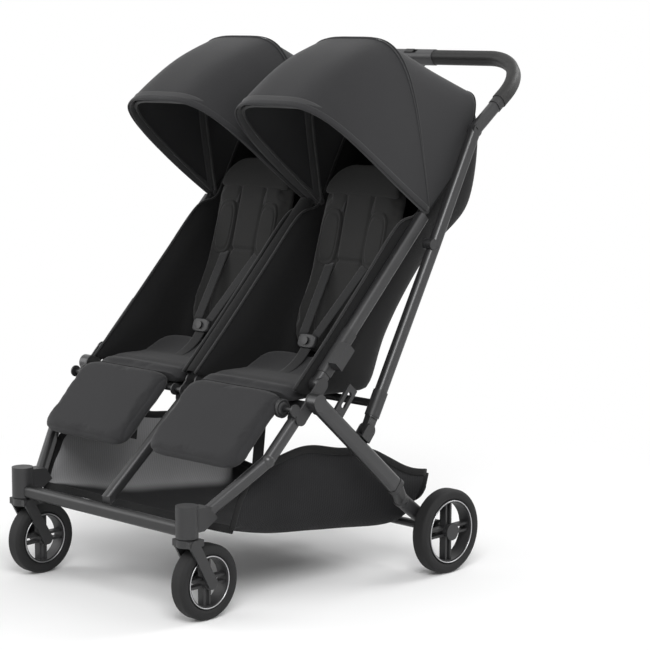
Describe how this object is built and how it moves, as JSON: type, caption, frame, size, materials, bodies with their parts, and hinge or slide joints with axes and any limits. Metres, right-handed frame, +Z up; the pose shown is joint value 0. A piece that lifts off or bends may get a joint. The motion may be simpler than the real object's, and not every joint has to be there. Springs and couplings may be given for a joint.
{
  "type": "side by side double stroller",
  "caption": "Folding side by side double stroller with canopies, reclining seats, leg rests, swivel front wheels, a storage basket and a one-piece handle.",
  "frame": {"origin": "on the floor under the middle of the overall box", "axes": "+X to the left of a seated child, -Y to the front, +Z up"},
  "size_m": [0.74, 0.9586, 1.1014],
  "materials": {
    "frame": "satin",
    "plastic": "matte",
    "black_plastic": "matte",
    "steel": "satin",
    "tyre": "matte",
    "cloth": "woven",
    "liner": "woven",
    "mesh": "net",
    "grip": "grained",
    "webbing": "webbing",
    "housing": "satin"
  },
  "bodies": {
    "rear_frame": {"rear_legs": "frame", "hub_brackets": "plastic", "hub_cross_tube": "black_plastic", "leg_rest_rod": "black_plastic", "frame_pins": "steel", "axle_brackets": "plastic", "rear_axle_tube": "frame", "link_clevises": "plastic", "fold_strike": "plastic", "seat_base_left": "liner", "seat_base_right": "liner", "crotch_straps": "webbing", "basket": "mesh"},
    "brake_pedal": {"brake_pedal": "black_plastic"},
    "front_frame": {"front_leg_left": "frame", "front_leg_right": "frame", "front_strut": "frame", "front_crossbar": "black_plastic", "caster_housings": "plastic"},
    "caster_left": {"caster_fork_left": "plastic"},
    "caster_right": {"caster_fork_right": "plastic"},
    "front_wheel_left": {"front_tyre_left": "tyre", "front_rim_left": "plastic"},
    "front_wheel_right": {"front_tyre_right": "tyre", "front_rim_right": "plastic"},
    "rear_wheel_left": {"rear_tyre_left": "tyre", "rear_rim_left": "plastic"},
    "rear_wheel_right": {"rear_tyre_right": "tyre", "rear_rim_right": "plastic"},
    "upper_frame": {"upper_side_tubes": "frame", "upper_tube_center": "frame", "upper_sleeves": "plastic", "fold_catch": "plastic", "canopy_posts": "plastic", "recline_rods": "steel", "seat_shell_left": "cloth", "seat_shell_right": "cloth", "divider_cover": "cloth", "canopies": "cloth"},
    "links": {"links": "frame", "link_collars": "plastic", "lock_cross_tube": "black_plastic"},
    "handle": {"handle_tubes": "frame", "handle_collars": "plastic", "handle_grips": "grip", "fold_housing": "housing"},
    "fold_slider": {"fold_slider": "black_plastic"},
    "fold_trigger": {"fold_trigger": "black_plastic"},
    "backrest_left": {"backrest_left": "liner", "harness_left": "webbing"},
    "backrest_right": {"backrest_right": "liner", "harness_right": "webbing"},
    "buckle_button_left": {"buckle_button_left": "black_plastic"},
    "buckle_button_right": {"buckle_button_right": "black_plastic"},
    "leg_rest_left": {"leg_rest_left": "cloth"},
    "leg_rest_right": {"leg_rest_right": "cloth"},
    "canopy_mid_left": {"canopy_mid_bow_left": "steel"},
    "canopy_mid_right": {"canopy_mid_bow_right": "steel"},
    "canopy_front_left": {"canopy_front_bow_left": "steel"},
    "canopy_front_right": {"canopy_front_bow_right": "steel"}
  },
  "joints": [
    {"name": "fold", "type": "hinge", "parent": "rear_frame", "child": "upper_frame", "pos_m": [0, -0.16498, 0.43485], "axis": [-1, 0, 0], "range_deg": [0, 60], "deforming": ["basket", "divider_cover", "seat_shell_left", "seat_shell_right"]},
    {"name": "front_fold", "type": "hinge", "parent": "rear_frame", "child": "front_frame", "pos_m": [0, -0.22323, 0.376], "axis": [1, 0, 0], "range_deg": [0, 84]},
    {"name": "link_fold", "type": "hinge", "parent": "rear_frame", "child": "links", "pos_m": [0, -0.0517, 0.33126], "axis": [-1, 0, 0], "range_deg": [0, 80]},
    {"name": "handle_fold", "type": "hinge", "parent": "links", "child": "handle", "pos_m": [0, 0.13307, 0.68912], "axis": [1, 0, 0], "range_deg": [0, 160]},
    {"name": "caster_swivel_left", "type": "hinge", "parent": "front_frame", "child": "caster_left", "pos_m": [0.25, -0.44923, 0.167], "axis": [0, 0, -1], "continuous": true},
    {"name": "front_spin_left", "type": "hinge", "parent": "caster_left", "child": "front_wheel_left", "pos_m": [0.25, -0.40523, 0.074], "axis": [1, 0, 0], "continuous": true},
    {"name": "rear_spin_left", "type": "hinge", "parent": "rear_frame", "child": "rear_wheel_left", "pos_m": [0.35, 0.18377, 0.088], "axis": [1, 0, 0], "continuous": true},
    {"name": "caster_swivel_right", "type": "hinge", "parent": "front_frame", "child": "caster_right", "pos_m": [-0.25, -0.44923, 0.167], "axis": [0, 0, 1], "continuous": true},
    {"name": "front_spin_right", "type": "hinge", "parent": "caster_right", "child": "front_wheel_right", "pos_m": [-0.25, -0.40523, 0.074], "axis": [1, 0, 0], "continuous": true},
    {"name": "rear_spin_right", "type": "hinge", "parent": "rear_frame", "child": "rear_wheel_right", "pos_m": [-0.35, 0.18377, 0.088], "axis": [1, 0, 0], "continuous": true},
    {"name": "brake", "type": "hinge", "parent": "rear_frame", "child": "brake_pedal", "pos_m": [0, 0.18377, 0.088], "axis": [1, 0, 0], "range_deg": [-14, 0]},
    {"name": "slider", "type": "slide", "parent": "handle", "child": "fold_slider", "axis": [1, 0, 0], "range_m": [0, 0.008], "stiffness_N_per_m": 400},
    {"name": "trigger", "type": "slide", "parent": "handle", "child": "fold_trigger", "axis": [0, -0.5962, 0.8028], "range_m": [0, 0.004], "stiffness_N_per_m": 800},
    {"name": "recline_left", "type": "hinge", "parent": "upper_frame", "child": "backrest_left", "pos_m": [0.16, -0.02923, 0.43976], "axis": [1, 0, 0], "range_deg": [-25, 0]},
    {"name": "buckle_left", "type": "slide", "parent": "backrest_left", "child": "buckle_button_left", "axis": [0, 0.9455, -0.3256], "range_m": [0, 0.0025], "stiffness_N_per_m": 600},
    {"name": "leg_rest_left", "type": "hinge", "parent": "rear_frame", "child": "leg_rest_left", "pos_m": [0.16, -0.24023, 0.394], "axis": [1, 0, 0], "range_deg": [-40, 0]},
    {"name": "canopy_left", "type": "hinge", "parent": "upper_frame", "child": "canopy_mid_left", "pos_m": [0.165, 0.15154, 0.75471], "axis": [1, 0, 0], "range_deg": [-27, 0], "deforming": ["canopies"]},
    {"name": "visor_left", "type": "hinge", "parent": "upper_frame", "child": "canopy_front_left", "pos_m": [0.165, 0.15154, 0.75471], "axis": [1, 0, 0], "range_deg": [-54, 0]},
    {"name": "recline_right", "type": "hinge", "parent": "upper_frame", "child": "backrest_right", "pos_m": [-0.16, -0.02923, 0.43976], "axis": [1, 0, 0], "range_deg": [-25, 0]},
    {"name": "buckle_right", "type": "slide", "parent": "backrest_right", "child": "buckle_button_right", "axis": [0, 0.9455, -0.3256], "range_m": [0, 0.0025], "stiffness_N_per_m": 600},
    {"name": "leg_rest_right", "type": "hinge", "parent": "rear_frame", "child": "leg_rest_right", "pos_m": [-0.16, -0.24023, 0.394], "axis": [1, 0, 0], "range_deg": [-40, 0]},
    {"name": "canopy_right", "type": "hinge", "parent": "upper_frame", "child": "canopy_mid_right", "pos_m": [-0.165, 0.15154, 0.75471], "axis": [1, 0, 0], "range_deg": [-27, 0], "deforming": ["canopies"]},
    {"name": "visor_right", "type": "hinge", "parent": "upper_frame", "child": "canopy_front_right", "pos_m": [-0.165, 0.15154, 0.75471], "axis": [1, 0, 0], "range_deg": [-54, 0]}
  ],
  "couplings": [
    {"joint": "front_fold", "follows": "fold", "ratio": 1.4},
    {"joint": "link_fold", "follows": "fold", "ratio": 1.3333},
    {"joint": "handle_fold", "follows": "fold", "ratio": 2.6667},
    {"joint": "visor_left", "follows": "canopy_left", "ratio": 2},
    {"joint": "visor_right", "follows": "canopy_right", "ratio": 2}
  ]
}
